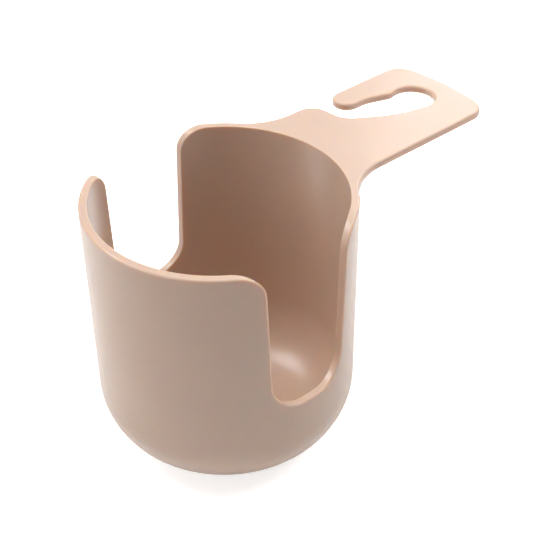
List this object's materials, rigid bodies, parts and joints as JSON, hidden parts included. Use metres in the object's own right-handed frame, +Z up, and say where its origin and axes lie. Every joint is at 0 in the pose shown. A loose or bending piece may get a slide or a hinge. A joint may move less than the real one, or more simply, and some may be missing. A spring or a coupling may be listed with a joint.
{
  "type": "car cup holder",
  "caption": "One-piece moulded cup holder with slotted sides and a flat arm that hooks over a headrest post.",
  "frame": {"origin": "middle of the flat base of the cup, on the cup's axis", "axes": "+Z up along the cup's axis, +Y from the cup towards the end of the arm, +X to the right seen from the front"},
  "size_m": [0.0837, 0.1438, 0.09],
  "materials": {
    "body_plastic": "smooth satin, pale beige"
  },
  "bodies": {
    "root": {"cup_holder": "body_plastic"}
  },
  "joints": []
}
